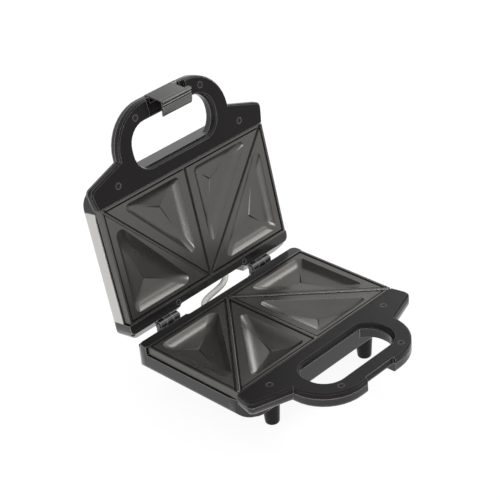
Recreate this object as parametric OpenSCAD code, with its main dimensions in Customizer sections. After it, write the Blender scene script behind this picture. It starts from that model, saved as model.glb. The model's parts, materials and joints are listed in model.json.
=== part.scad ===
// Countertop sandwich toaster: two hinged halves, each with a cast plate of
// four triangular pockets, a looped handle and a latch that clips them shut.
// Millimetres. X is across, -Y the handle side, +Y the hinge side, Z up from
// the table. The lid is drawn open, as far as its stop.

/* [Plates] */
// Width of each cooking plate
plate_w = 224; // [208:1:238]
// Depth of each cooking plate, handle side to hinge side
plate_d = 125; // [116:1:134]
// Height of the plate's visible edge
plate_h = 8.5; // [7:0.5:9]
// Thickness of the plate's casting
plate_t = 3.2; // [2.4:0.2:4]
// Depth of a pocket at its centre
pocket_h = 9; // [6.5:0.5:10]
// Width of the side pockets' outer border
border_side = 10.5; // [9:0.5:13]
// Width of the border along the hinge side
border_rear = 7.5; // [6:0.5:10]
// Width of the border along the handle side
border_front = 7; // [6:0.5:10]
// Half width of the land between the two front pockets
land_half = 10.7; // [9:0.1:13]
// Width of the cutting bar between the pockets
bar_w = 3.4; // [2.4:0.2:4.4]
// Height of the cutting bar over the plate
bar_h = 0.6; // [0.3:0.1:0.8]
// Width of the rim round each plate
rim_w = 2.4; // [1.6:0.2:3.4]

/* [Casing] */
// Depth of each half, from its cooking face to its outer face
case_h = 29; // [25:0.5:34]
// Overhang of the casing past the plate, each side
case_over = 1.8; // [0.8:0.1:3]
// Radius of the casing's long outer edges
case_r = 7.5; // [5:0.5:8.5]
// Wall of the casing
case_wall = 2.5; // [2:0.1:3]
// Reach of the casing in front of the plate
case_front = 15.5; // [13:0.5:16.5]
// Joint line between plate and casing
seam = 1; // [0.6:0.1:1.4]
// Thickness of the lid's steel cover
cover_t = 0.8; // [0.5:0.1:1.4]

/* [Handle] */
// Width of the handle loop
loop_w = 148; // [142:1:156]
// Reach of the loop from the plate's front edge
loop_reach = 81; // [77:0.5:86]
// Radius of the loop's outer corners
loop_r = 45; // [38:0.5:45]
// Thickness of the base's loop
loop_h = 17; // [15:0.5:19]
// Thickness of the lid's loop
lid_loop_h = 14; // [13.5:0.5:17]
// Width of the finger opening
grip_w = 111.5; // [104:0.5:114]
// Near edge of the finger opening from the plate's front edge
grip_near = 14; // [13:0.5:17]
// Far edge of the finger opening from the plate's front edge
grip_far = 62; // [56:0.5:63]
// Thickness of the handle's face moulding
face_h = 7; // [5:0.5:7.5]
// Half width of the apron at its ears
apron_x = 117.5; // [116:0.5:120]

/* [Hinge] */
// Opening angle of the lid at its stop
open_deg = 100; // [92:1:104]
// Hinge axis behind the plate's rear edge
hinge_back = 16.5; // [15.5:0.5:18]
// Gap between the two mating faces
mate_gap = 1; // [0.8:0.1:1.6]
// Distance of each hinge from the plate's side
hinge_in = 45; // [42:0.5:50]
// Length of each hinge
hinge_w = 26; // [22:0.5:28]
// Radius of the hinge barrel
barrel_r = 4.3; // [3.8:0.1:4.6]
// Radius of the hinge pin
pin_r = 2; // [1.5:0.1:2.4]
// Running clearance of a pin in its bore
pin_fit = 0.05; // [0.02:0.01:0.09]

/* [Latch] */
// Width of the latch
latch_w = 39; // [32:0.5:42]
// Wall of the latch
latch_t = 2.2; // [1.8:0.1:2.6]
// Length of the latch over the cooking face
latch_drop = 15.5; // [14.5:0.5:17]
// Reach of the hook
hook_reach = 13; // [10:0.5:14]

/* [Feet] */
// Height of the feet below the casing
foot_h = 32; // [20:1:40]
// Radius of a foot at its foot
foot_r = 7.3; // [6.5:0.1:8.5]
// Radius of a foot at the casing
foot_top_r = 9.5; // [9:0.1:11]
// Distance of the feet from the plate's side
foot_in = 43; // [36:1:55]

/* [Heating] */
// Radius of the heater tube
heater_r = 3.25; // [2.5:0.05:3.6]
// Half distance between the heater's legs
heater_half = 27; // [20:0.5:30]
// Diameter of the lead between the halves
lead_d = 6.4; // [5:0.1:7]

/* [Hidden] */
$fn = 48;
eps = 0.01;
fit = 0.2;                             // clearance between seated pieces
hx = plate_w / 2;                      // half plate
cx = hx + case_over;                   // half casing
hinge_x = hx - hinge_in;
foot_x = hx - foot_in;
floor_z = -case_h - foot_h;            // table, below the base plate's face
hinge_y = plate_d + hinge_back;
hinge_z = mate_gap / 2;
deck_y = hinge_y - 5.5;                // rear edge of the rear deck
notch_y = hinge_y - 8;                 // rear edge between the hinges
bulge_y = hinge_y + 6;                 // back of the hinge housings
deck = 0.3;                            // decks lie this far under the rim
lid_back = hinge_y + cos(open_deg) * (-case_front - hinge_y)
    + sin(open_deg) * (case_h + hinge_z) - 1.5;
mid_y = (lid_back - loop_reach) / 2;   // middle of the whole, at rest

// An arc as points, from angle a to angle b
function arc(c, r, a, b, n) =
    [for (i = [0:n]) c + r * [cos(a + (b - a) * i / n), sin(a + (b - a) * i / n)]];
function unit(v) = v / norm(v);
function turn(a, b) = a[0] * b[1] - a[1] * b[0];
// A corner of a rounded outline: p with radius r between neighbours q and s
function corner(q, p, s, r, n) =
    let (u = unit(q - p), v = unit(s - p), w = unit(u + v))
    let (half = acos(max(-1, min(1, u * v))) / 2, side = turn(u, v) > 0 ? 1 : -1)
    let (c = p + w * r / sin(half))
    let (a = atan2((p + u * r / tan(half) - c)[1], (p + u * r / tan(half) - c)[0]))
    [for (i = [0:n]) c + r * [cos(a - side * (i / n) * (180 - 2 * half)),
                              sin(a - side * (i / n) * (180 - 2 * half))]];
// An outline of [x, y, r] corners as points, each corner rounded to its r
function rounded(p, n = 6) =
    [for (i = [0:len(p) - 1])
        let (k = len(p), q = p[(i + k - 1) % k], c = p[i], s = p[(i + 1) % k])
        each c[2] > 0
            ? corner([q[0], q[1]], [c[0], c[1]], [s[0], s[1]], c[2], n)
            : [[c[0], c[1]]]];
// The left half of a symmetric outline, mirrored from the right half
function both(h) = concat(h, [for (i = [len(h) - 1:-1:0]) [-h[i][0], h[i][1], h[i][2]]]);

module on_base() {
    translate([0, -mid_y, -floor_z]) children();
}
module on_lid() {
    on_base() translate([0, hinge_y, hinge_z]) rotate([-open_deg, 0, 0])
        translate([0, -hinge_y, -hinge_z]) translate([0, 0, mate_gap])
            mirror([0, 0, 1]) children();
}
module sides() {
    children();
    mirror([1, 0, 0]) children();
}
module cyl_x(r, x0, x1, f = 32) {
    translate([x0, 0, 0]) rotate([0, 90, 0]) cylinder(r = r, h = x1 - x0, $fn = f);
}

// ---- cooking plates -------------------------------------------------------
front_pocket = [[land_half, border_front], [hx - 25, border_front],
    [land_half, plate_d - 27.8]];
side_pocket = [[hx - border_side, plate_d - border_rear],
    [hx - border_side, 14.9], [land_half + 10, plate_d - border_rear]];
// Centre of the circle of radius r in corner i, the outline moved in by d
function seat(t, i, d, r) =
    let (p = t[i], u = unit(t[(i + 1) % 3] - p), v = unit(t[(i + 2) % 3] - p))
    p + unit(u + v) * (d + r) / sin(acos(u * v) / 2);
function incentre(t) =
    let (a = norm(t[1] - t[2]), b = norm(t[0] - t[2]), c = norm(t[0] - t[1]))
    (a * t[0] + b * t[1] + c * t[2]) / (a + b + c);
// Bowl of a pocket: a steep lip, a wide fillet, three flats to one low point
bowl = [[0, 0.05, 1], [0.7, -0.28, 1], [2.2, -0.46, 1], [4.6, -0.6, 0.9],
    [8, -0.7, 0.7], [12, -0.76, 0.45]];
module pocket(t, r) {
    hull() {
        for (b = bowl, i = [0:2])
            let (c = seat(t, i, b[0], r * b[2]))
            translate([c[0], c[1], b[1] > 0 ? 1 : b[1] * pocket_h])
                cylinder(r = r * b[2], h = eps, $fn = 28);
        translate([incentre(t)[0], incentre(t)[1], -pocket_h])
            cylinder(r = 0.05, h = eps, $fn = 6);
    }
}
module pocket_plan(t, r, grow) {
    polygon(concat(
        corner_arc(t, 0, r, grow), corner_arc(t, 1, r, grow), corner_arc(t, 2, r, grow)));
}
function corner_arc(t, i, r, grow) =
    corner(t[(i + 2) % 3], t[i], t[(i + 1) % 3], r, 6)
        + [for (k = [0:6]) unit(t[i] - incentre(t)) * grow];
module bars(w, z0, z1) {
    hub = [0, plate_d - 1];
    for (e = [[hx - 1, 0], [0, 0], [-hx + 1, 0]])
        let (v = e - hub)
        translate([hub[0], hub[1], z0])
            rotate([0, 0, atan2(v[1], v[0])])
                translate([0, -w / 2, 0]) cube([norm(v), w, z1 - z0]);
}
module plate(raised) {
    difference() {
        union() {
            translate([-hx, 0, -plate_t]) cube([plate_w, plate_d, plate_t - deck]);
            difference() {
                translate([-hx, 0, -plate_h]) cube([plate_w, plate_d, plate_h]);
                translate([-hx + rim_w, rim_w, -plate_h - 1])
                    cube([plate_w - 2 * rim_w, plate_d - 2 * rim_w, plate_h + 2]);
            }
            sides() {
                translate([0, 0, -pocket_h - 2.5]) linear_extrude(pocket_h)
                    pocket_plan(front_pocket, 4.5, 0.6);
                translate([0, 0, -pocket_h - 2.5]) linear_extrude(pocket_h)
                    pocket_plan(side_pocket, 6.5, 0.6);
            }
            if (raised) intersection() {
                bars(bar_w, -1, bar_h);
                translate([-hx + rim_w, 0.4, -2]) cube([plate_w - 2 * rim_w, plate_d - 0.8, 4]);
            }
        }
        sides() {
            pocket(front_pocket, 4.5);
            pocket(side_pocket, 6.5);
        }
        if (raised) difference() {
            intersection() {
                bars(bar_w + 3.2, -1.3, 1);
                translate([-hx + rim_w, rim_w, -2]) cube([plate_w - 2 * rim_w, plate_d - 2 * rim_w, 4]);
            }
            bars(bar_w, -3, 2);
        } else
            intersection() {
                bars(bar_w + 1.2, -1.4, 1);
                translate([-hx + 0.6, -1, -2]) cube([plate_w - 1.2, plate_d + 2, 4]);
            }
    }
}
module base_plate() color([0.17, 0.17, 0.16]) on_base() plate(true);
module lid_plate() color([0.3, 0.3, 0.29]) on_lid() plate(false);

// ---- casing ---------------------------------------------------------------
// Right half of the casing's plan, from the front round to the hinge housing
module case_plan(in, corner_r) {
    a = -case_front + in;
    x = cx - in;
    polygon(rounded(both([
        [x, a, max(2, 28 - in)], [x, bulge_y - in, max(2, corner_r - in)],
        [hinge_x - 15 + in, bulge_y - in, 6], [hinge_x - 21 + in, notch_y - in, 4]])));
}
module case_front_view(in) {
    b = -case_h + in;
    polygon(rounded(both([
        [cx - in, 2, 0], [cx - in, b, max(1, case_r - in)]])));
}
module case_side_view(in) {
    b = -case_h + in;
    polygon(rounded([[-case_front + in, 2, 0], [deck_y - in, 2, 0], [deck_y - in, -deck - 0.2, 0],
        [bulge_y - in, -12.5, 4], [bulge_y - in, b, max(1, case_r - in)],
        [-case_front + in, b, max(1, 3.5 - in)]]));
}
module case_solid(in, corner_r = 19) {
    intersection() {
        translate([0, 0, -case_h - 1]) linear_extrude(case_h + 3)
            case_plan(in, corner_r);
        rotate([90, 0, 0]) translate([0, 0, -bulge_y - 5])
            linear_extrude(bulge_y + case_front + 10) case_front_view(in);
        translate([-cx - 5, 0, 0]) rotate([90, 0, 90])
            linear_extrude(2 * cx + 10) case_side_view(in);
    }
}
module hinge_scoop() {
    sides() translate([0, hinge_y, hinge_z])
        cyl_x(barrel_r + 0.9, hinge_x - hinge_w / 2 - 2, hinge_x + hinge_w / 2 + 2);
}
// One knuckle with its arm, drawn under the axis
module knuckle(x0, x1, bore) {
    difference() {
        union() {
            translate([0, hinge_y, hinge_z]) cyl_x(barrel_r, x0, x1);
            translate([x0, 0, 0]) rotate([90, 0, 90]) linear_extrude(x1 - x0)
                polygon([[hinge_y - 8.5, -deck - 1], [hinge_y - barrel_r + 0.3, -1],
                    [hinge_y + barrel_r - 0.6, -1.6], [hinge_y + 3.4, -15],
                    [hinge_y - 8.5, -15]]);
        }
        translate([0, hinge_y, hinge_z]) cyl_x(bore, x0 - 1, x1 + 1, 48);
    }
}
k3 = hinge_w / 3;
k_gap = 0.3;
module outer_knuckles(bore) {
    sides() {
        knuckle(hinge_x - hinge_w / 2, hinge_x - hinge_w / 2 + k3 - k_gap, bore);
        knuckle(hinge_x + hinge_w / 2 - k3 + k_gap, hinge_x + hinge_w / 2, bore);
    }
}
module inner_knuckles(bore) {
    sides() knuckle(hinge_x - hinge_w / 2 + k3, hinge_x + hinge_w / 2 - k3, bore);
}
// Room for the plate, its skirt and the front face moulding
module plate_room() {
    difference() {
        translate([-cx - 5, -fit, -plate_h - seam])
            cube([2 * cx + 10, plate_d + 2 * fit, plate_h + seam + 5]);
        difference() {
            translate([-hx + rim_w + fit, rim_w + fit, -plate_h - seam - 1])
                cube([plate_w - 2 * rim_w - 2 * fit, plate_d - 2 * rim_w - 2 * fit,
                    plate_h + seam + 1 - plate_t]);
            translate([-hx + rim_w + 2.2, rim_w + 2.2, -plate_h - seam - 2])
                cube([plate_w - 2 * rim_w - 4.4, plate_d - 2 * rim_w - 4.4, 40]);
        }
    }
    translate([-cx - 5, -case_front - 5, -face_h]) cube([2 * cx + 10, case_front + 5, 20]);
}
// Open hollow under the plate, and the two side chambers before and behind it
module case_room() {
    b = -case_h + case_wall;
    translate([-hx + rim_w + 2.2, rim_w + 2.2, b])
        cube([plate_w - 2 * rim_w - 4.4, plate_d - 2 * rim_w - 4.4, case_h]);
    translate([-hx + 24, -case_front + case_wall, b])
        cube([plate_w - 48, case_front - case_wall + 1, case_h - case_wall - 12]);
    translate([-hinge_x + 26, plate_d - 1, b])
        cube([2 * hinge_x - 52, notch_y - plate_d + 1 - case_wall,
            case_h - case_wall - 12]);
}
module shell_half() {
    difference() {
        case_solid(0);
        plate_room();
        case_room();
        hinge_scoop();
        translate([-cx - 5, plate_d - 1, -deck]) cube([2 * cx + 10, 60, 10]);
    }
}
// Middle of the lid casing stands in by the cover's thickness
module cover_zone(y0, y1) {
    translate([-cx - 5, y0, -case_h - 5]) cube([2 * cx + 10, y1 - y0, case_h + 10]);
}
module reflector_posts() {
    for (x = [-post_x, post_x], y = [16, plate_d - 16])
        translate([x, y, -case_h + case_wall - 0.5])
            cylinder(r = 4, h = case_h - case_wall + 0.5 + reflector_z, $fn = 32);
}
module lead_hole(x, z) {
    translate([x, gland_y - 8, z]) rotate([-90, 0, 0]) cylinder(r = gland_r + 0.05, h = 12);
}
module base_casing() color([0.07, 0.07, 0.07]) on_base() {
    difference() {
        union() {
            shell_half();
            reflector_posts();
            outer_knuckles(pin_r);
        }
        translate([inlet_x, gland_y - 12, inlet_z]) rotate([-90, 0, 0])
            cylinder(r = 5, h = 20);
        lead_hole(lead_base[0], lead_base[1]);
    }
}
module lid_casing() color([0.07, 0.07, 0.07]) on_lid() {
    difference() {
        union() {
            difference() {
                shell_half();
                difference() {
                    cover_zone(cover_y0, cover_y1);
                    case_solid(cover_t + 0.05);
                }
            }
            reflector_posts();
            inner_knuckles(pin_r + pin_fit);
        }
        lead_hole(lead_lid[0], lead_lid[1]);
        for (x = [-lamp_x, lamp_x]) translate([x, lamp_y, -case_h - 1])
            cylinder(r = lamp_r + 0.1, h = case_wall + 3, $fn = 32);
        for (x = [-rear_screw[0], rear_screw[0]]) translate([x, rear_screw[1], -deck - 2])
            cylinder(r = 2.5, h = 5, $fn = 32);
    }
}
module lid_cover() color([0.85, 0.84, 0.82]) on_lid() {
    difference() {
        case_solid(0);
        case_solid(cover_t);
        translate([-cx - 5, -60, -plate_h - seam]) cube([2 * cx + 10, 300, 40]);
        cover_zone(-60, cover_y0 + 0.1);
        cover_zone(cover_y1 - 0.1, 300);
    }
}

// ---- handles --------------------------------------------------------------
module loop_plan(in) {
    polygon(rounded(both([
        [loop_w / 2 - in, -loop_reach + in, loop_r - in],
        [loop_w / 2 - in, -18, 0]]), 10));
}
module apron_plan(in) {
    polygon(rounded([
        [apron_x - in, -20.8 + in, 6], [apron_x - 2.2 - in, -7, 0],
        [cx - in, -fit, 0], [-cx + in, -fit, 0],
        [-apron_x + 2.2 + in, -7, 0], [-apron_x + in, -20.8 + in, 6],
        [-loop_w / 2, -35 + in, 0], [loop_w / 2, -35 + in, 0]]));
}
module grip_plan(out) {
    polygon(rounded(both([
        [grip_w / 2 + out, -grip_far - out, 22 + out],
        [grip_w / 2 + out, -grip_near + out, 20 + out]]), 8));
}
module slab(z, h = eps) {
    translate([0, 0, z]) linear_extrude(h) children();
}
module handle_face() {
    difference() {
        union() {
            hull() {
                slab(-deck - eps) loop_plan(1.4);
                slab(-face_h, face_h - deck - 1.4) loop_plan(0);
            }
            hull() {
                slab(-deck - eps) apron_plan(1.4);
                slab(-face_h, face_h - deck - 1.4) apron_plan(0);
            }
        }
        slab(-face_h - 1, face_h + 2) grip_plan(0);
        hull() {
            slab(-deck - 1.3) grip_plan(0);
            slab(1) grip_plan(2);
        }
        for (p = face_screw_at) translate([p[0], p[1], -deck - 1.8]) {
            cylinder(r = 3.1, h = 6, $fn = 32);
            translate([0, 0, -3]) cylinder(r = 1.45, h = 4, $fn = 32);
        }
    }
}
module shell_grip_plan() {
    polygon(rounded(both([
        [grip_w / 2 - 1, -grip_far + 1, 22],
        [grip_w / 2 - 1, -grip_near + 2, 24]]), 8));
}
module handle_shell(deep) {
    difference() {
        union() {
            hull() {
                slab(-deep + 3, deep - 3 - face_h) loop_plan(0);
                slab(-deep + 1) loop_plan(0.8);
                slab(-deep) loop_plan(2.6);
            }
            hull() {
                slab(-face_h - 2, 2) apron_plan(0);
                slab(-deep + 5) apron_plan(0.3);
                slab(-deep + 2) apron_plan(1.8);
                slab(-deep) apron_plan(5);
            }
        }
        slab(-deep - 1, deep + 2) shell_grip_plan();
        case_solid(-fit / 2);
        translate([-cx + 4, -8, -deep - 1]) cube([2 * cx - 8, 20, deep]);
    }
}
module base_handle() color([0.16, 0.15, 0.15]) on_base() {
    difference() {
        handle_face();
        translate([-notch_x, -loop_reach - 5, -20]) cube([2 * notch_x, 5 + 2.9, 30]);
    }
}
module base_handle_shell() color([0.08, 0.08, 0.08]) on_base() {
    difference() {
        handle_shell(loop_h);
        translate([-notch_x, -loop_reach - 5, -20]) cube([2 * notch_x, 5 + 2.9, 30]);
        translate([-notch_x, -loop_reach - 5, -40])
            cube([2 * notch_x, loop_reach + 10 - grip_far, 40 - catch_h]);
    }
}
module latch_room() {
    translate([-notch_x - 5.7, -loop_reach - 5, -3])
        cube([2 * notch_x + 11.4, loop_reach + 4 - grip_far, 10]);
    translate([-notch_x, -loop_reach - 5, latch_z - latch_r - 1.2])
        cube([2 * notch_x, loop_reach + 5 + latch_y + latch_r + 1.2, 40]);
    translate([0, latch_y, latch_z]) cyl_x(latch_pin_r, -latch_pin_l, latch_pin_l);
}
module lid_handle() color([0.16, 0.15, 0.15]) on_lid() {
    difference() {
        handle_face();
        latch_room();
    }
}
module lid_handle_shell() color([0.08, 0.08, 0.08]) on_lid() {
    difference() {
        handle_shell(lid_loop_h);
        latch_room();
    }
}

// ---- latch ----------------------------------------------------------------
module latch() color([0.3, 0.3, 0.3]) on_lid() {
    w = latch_w / 2;
    z = latch_z;
    y = latch_y;
    difference() {
        union() {
            translate([0, y, z]) cyl_x(latch_r, -w, w);
            translate([-w, 0, 0]) rotate([90, 0, 90]) linear_extrude(2 * w) polygon([
                [y - latch_r, z], [y - latch_r + 4.2, latch_drop - 1.4],
                [y - latch_r + 5.6, latch_drop],
                [y + 0.4 + latch_t, latch_drop], [y - latch_r + 4.2 + latch_t, latch_drop - 4],
                [y - latch_r + 0.4 + latch_t, z]]);
            translate([-w + 1.2, 0, 0]) rotate([90, 0, 90]) linear_extrude(2 * w - 2.4) polygon([
                [y + 1.2, latch_drop - 3.4], [y + 1.2, latch_drop],
                [y + hook_reach + 5, latch_drop - 4.2], [y + hook_reach + 5.4, latch_drop - 5.6],
                [y + hook_reach + 4.6, latch_drop - 6.4]]);
        }
        translate([0, y, z]) cyl_x(latch_pin_r + pin_fit, -w - 1, w + 1, 48);
    }
}
module latch_pin() color([0.6, 0.6, 0.6]) on_lid() {
    translate([0, latch_y, latch_z]) cyl_x(latch_pin_r, -latch_pin_l + 0.1, latch_pin_l - 0.1, 48);
}

// ---- hinge pins and screws ------------------------------------------------
module hinge_pin(side) {
    translate([side * hinge_x, hinge_y, hinge_z]) {
        cyl_x(pin_r, -hinge_w / 2 - 0.5, hinge_w / 2 + 0.5, 48);
        for (e = [-1, 1]) translate([e * (hinge_w / 2 + 0.75), 0, 0])
            cyl_x(pin_r + 0.9, -0.65, 0.65);
    }
}
module hinge_pin_left() color([0.4, 0.4, 0.4]) on_base() hinge_pin(-1);
module hinge_pin_right() color([0.4, 0.4, 0.4]) on_base() hinge_pin(1);
module screw(r, head, long) {
    difference() {
        cylinder(r = r, h = head, $fn = 32);
        for (a = [0, 90]) rotate([0, 0, a]) translate([-r * 0.6, -0.35, head - 0.7])
            cube([r * 1.2, 0.7, 2]);
    }
    translate([0, 0, -long]) cylinder(r = 1.4, h = long + 0.2, $fn = 32);
}
module face_screws() {
    for (p = face_screw_at) translate([p[0], p[1], -deck - 1.8]) screw(3, 1.5, 2.8);
}
module base_face_screws() color([0.2, 0.2, 0.2]) on_base() face_screws();
module lid_face_screws() color([0.2, 0.2, 0.2]) on_lid() face_screws();
module lid_rear_screws() color([0.2, 0.2, 0.2]) on_lid() {
    for (x = [-rear_screw[0], rear_screw[0]]) translate([x, rear_screw[1], -deck - 2])
        cylinder(r = 2.4, h = 1.7, $fn = 32);
}

// ---- feet -----------------------------------------------------------------
module foot(x, y) {
    translate([x, y, floor_z + pad_out]) difference() {
        rotate_extrude() polygon(concat([[0, 0]],
            arc([foot_r - 2.4, 2.4], 2.4, -90, 0, 5),
            [[foot_top_r, foot_h - pad_out], [0, foot_h - pad_out]]));
        translate([0, 0, -1]) cylinder(r = 4.2, h = 3);
    }
}
module foot_front_left() color([0.06, 0.06, 0.06]) on_base() foot(-foot_x, foot_y);
module foot_front_right() color([0.06, 0.06, 0.06]) on_base() foot(foot_x, foot_y);
module foot_rear_left() color([0.06, 0.06, 0.06]) on_base() foot(-foot_x, foot_rear_y);
module foot_rear_right() color([0.06, 0.06, 0.06]) on_base() foot(foot_x, foot_rear_y);
module foot_pads() color([0.1, 0.1, 0.1]) on_base() {
    for (x = [-foot_x, foot_x], y = [foot_y, foot_rear_y])
        translate([x, y, floor_z]) cylinder(r = 4.1, h = pad_out + 1.9);
}

// ---- heating --------------------------------------------------------------
module heater() {
    x0 = -hx + 22;
    x1 = hx - 22 - heater_half;
    translate([0, plate_d / 2, heater_z]) {
        for (s = [-1, 1]) translate([0, s * heater_half, 0]) {
            cyl_x(heater_r, x0, x1);
            cyl_x(heater_r * 0.45, x0 - 9, x0 + 1);
        }
        translate([x1, 0, 0]) rotate([0, 0, -90]) rotate_extrude(angle = 180, $fn = 48)
            translate([heater_half, 0]) circle(r = heater_r, $fn = 32);
    }
}
module reflector() {
    x = hx - rim_w - 6;
    translate([-x, 7, reflector_z]) difference() {
        cube([2 * x, plate_d - 14, 5]);
        translate([0.8, 0.8, 0.8]) cube([2 * x - 1.6, plate_d - 15.6, 9]);
    }
}
module base_heater() color([0.45, 0.43, 0.4]) on_base() heater();
module lid_heater() color([0.45, 0.43, 0.4]) on_lid() heater();
module base_reflector() color([0.75, 0.75, 0.76]) on_base() reflector();
module lid_reflector() color([0.75, 0.75, 0.76]) on_lid() reflector();
module thermostat() color([0.88, 0.86, 0.8]) on_base() {
    translate([0, plate_d / 2, -plate_t - 7]) {
        cylinder(r = 7.5, h = 6.95);
        for (s = [-1, 1]) translate([-1.5, s * 9.5 - 3.5, 1]) cube([3, 7, 1]);
    }
}
module thermal_fuse() color([0.8, 0.78, 0.7]) on_base() {
    translate([0, plate_d * 0.68, -plate_t - 2.4]) rotate([-90, 0, 0])
        cylinder(r = 2.2, h = 20, $fn = 32);
}
module terminal_block() color([0.85, 0.84, 0.8]) on_base() {
    translate([-16, plate_d - 0.7, -case_h + case_wall]) difference() {
        cube([24, notch_y - case_wall - plate_d + 0.5, 9]);
        for (i = [0:2]) translate([4 + 8 * i, 3.2, 5]) cylinder(r = 2, h = 9, $fn = 24);
    }
}
module cord_inlet() color([0.09, 0.09, 0.09]) on_base() {
    translate([inlet_x, gland_y, inlet_z]) rotate([-90, 0, 0]) difference() {
        union() {
            translate([0, 0, -4.5]) cylinder(r = 4.9, h = 5);
            translate([0, 0, 0.05]) cylinder(r = 7, h = 2);
        }
        translate([0, 0, -3]) cylinder(r = 3.4, h = 9);
    }
}

// ---- lamps and the lead between the halves --------------------------------
module lamp(x) {
    translate([x, lamp_y, -case_h - 0.8]) {
        cylinder(r = lamp_r, h = case_wall + 0.8, $fn = 32);
        translate([0, 0, 2]) cylinder(r = 2.4, h = 10, $fn = 32);
    }
}
module power_lamp() color([0.8, 0.12, 0.08]) on_lid() lamp(-lamp_x);
module ready_lamp() color([0.15, 0.6, 0.2]) on_lid() lamp(lamp_x);
module gland(x, z) {
    translate([x, gland_y, z]) rotate([-90, 0, 0])
        translate([0, 0, -7.9]) cylinder(r = gland_r, h = 8.9);
}
module base_lead_gland() color([0.12, 0.12, 0.12]) on_base() gland(lead_base[0], lead_base[1]);
module lid_lead_gland() color([0.12, 0.12, 0.12]) on_lid() gland(lead_lid[0], lead_lid[1]);
// Tube swept along a run of points, n sides
function frame_at(p, i) =
    unit((i < len(p) - 1 ? p[i + 1] : p[i]) - (i > 0 ? p[i - 1] : p[i]));
function ring(p, i, r, n) =
    let (t = frame_at(p, i), a = unit(cross(t, [0, 0.3, 1])), b = cross(t, a))
    [for (k = [0:n - 1]) p[i] + r * (cos(k * 360 / n) * a + sin(k * 360 / n) * b)];
module tube(p, r, n) {
    m = len(p);
    polyhedron([for (i = [0:m - 1]) each ring(p, i, r, n)],
        concat([[for (k = [0:n - 1]) k]],
            [for (i = [0:m - 2], k = [0:n - 1])
                [i * n + k, (i + 1) * n + k, (i + 1) * n + (k + 1) % n, i * n + (k + 1) % n]],
            [[for (k = [n - 1:-1:0]) (m - 1) * n + k]]));
}
function smooth(p, n) = concat([for (i = [0:len(p) - 2], k = [0:n - 1])
    let (a = p[max(0, i - 1)], b = p[i], c = p[i + 1], d = p[min(len(p) - 1, i + 2)], t = k / n)
    0.5 * (2 * b + (c - a) * t + (2 * a - 5 * b + 4 * c - d) * t * t
        + (3 * b - a - 3 * c + d) * t * t * t)], [p[len(p) - 1]]);
module link_lead() color([0.7, 0.69, 0.67]) on_base() tube(lead_run, lead_d / 2, 10);

// Places and seats of the small parts
post_x = hx - 30;
heater_z = -pocket_h - 2.5 - 0.3 - heater_r;
reflector_z = heater_z - heater_r - 1.3;
cover_y0 = 5;
cover_y1 = plate_d - 0.5;
face_screw_at = [[-83.7, -14], [83.7, -14], [-44, -loop_reach + 12.3], [44, -loop_reach + 12.3]];
rear_screw = [48, notch_y - 3];
notch_x = latch_w / 2 + 0.8;
catch_h = 8;
latch_r = 3.2;
latch_y = -loop_reach + 1.9;
latch_z = -8;
latch_pin_r = 1.5;
latch_pin_l = notch_x + 3.5;
foot_y = 2;
foot_rear_y = plate_d + 5;
pad_out = 0.6;
lamp_x = 12;
lamp_y = -1.5;
lamp_r = 3.4;
gland_y = notch_y;
gland_r = lead_d / 2 + 1.2;
inlet_x = 24;
inlet_z = -case_h + 10;
lead_base = [-20, -9.5];
lead_lid = [26, -9];
// The lead's run at rest, from the base's gland to the lid's
lead_end = let (y = gland_y + 1 - hinge_y, z = mate_gap - lead_lid[1] - hinge_z)
    [lead_lid[0], hinge_y + y * cos(open_deg) + z * sin(open_deg),
        hinge_z - y * sin(open_deg) + z * cos(open_deg)];
lead_up = [0, -cos(open_deg), sin(open_deg)];
lead_run = concat([[lead_base[0], gland_y + 1, lead_base[1]]],
    smooth([[lead_base[0], hinge_y - 3.5, lead_base[1]], [-17, hinge_y + 1.5, -7.2], [-8, hinge_y + 4.5, -6],
        [2, hinge_y + 5.8, -5.5], [11, hinge_y + 6.8, -5.2], [19, hinge_y + 8, -4],
        [24, hinge_y + 9, -1.4], lead_end - 4 * lead_up], 3),
    [lead_end]);

base_casing();
base_handle();
base_handle_shell();
base_plate();
base_heater();
base_reflector();
base_face_screws();
base_lead_gland();
thermostat();
thermal_fuse();
terminal_block();
cord_inlet();
foot_front_left();
foot_front_right();
foot_rear_left();
foot_rear_right();
foot_pads();
hinge_pin_left();
hinge_pin_right();
lid_casing();
lid_cover();
lid_handle();
lid_handle_shell();
lid_plate();
lid_heater();
lid_reflector();
lid_face_screws();
lid_rear_screws();
lid_lead_gland();
power_lamp();
ready_lamp();
link_lead();
latch();
latch_pin();
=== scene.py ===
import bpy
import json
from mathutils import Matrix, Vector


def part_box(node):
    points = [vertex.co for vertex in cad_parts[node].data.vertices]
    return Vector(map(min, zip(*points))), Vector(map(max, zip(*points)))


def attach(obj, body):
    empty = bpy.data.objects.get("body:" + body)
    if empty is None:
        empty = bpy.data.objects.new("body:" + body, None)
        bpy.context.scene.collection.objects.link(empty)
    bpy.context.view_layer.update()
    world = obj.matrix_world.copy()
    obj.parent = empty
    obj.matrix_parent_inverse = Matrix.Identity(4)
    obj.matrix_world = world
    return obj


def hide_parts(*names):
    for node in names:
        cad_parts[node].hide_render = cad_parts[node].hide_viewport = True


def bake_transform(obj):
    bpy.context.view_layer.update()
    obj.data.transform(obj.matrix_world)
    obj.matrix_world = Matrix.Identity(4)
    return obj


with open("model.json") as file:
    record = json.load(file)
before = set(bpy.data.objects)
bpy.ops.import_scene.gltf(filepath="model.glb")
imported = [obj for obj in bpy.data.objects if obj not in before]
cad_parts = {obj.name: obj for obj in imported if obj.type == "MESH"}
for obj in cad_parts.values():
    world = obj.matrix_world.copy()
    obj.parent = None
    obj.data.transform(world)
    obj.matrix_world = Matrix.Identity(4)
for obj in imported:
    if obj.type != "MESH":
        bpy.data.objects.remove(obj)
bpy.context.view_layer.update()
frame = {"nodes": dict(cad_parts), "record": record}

import json
import math
import bmesh
import bpy
from mathutils import Matrix, Vector

mm = 0.001

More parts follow.
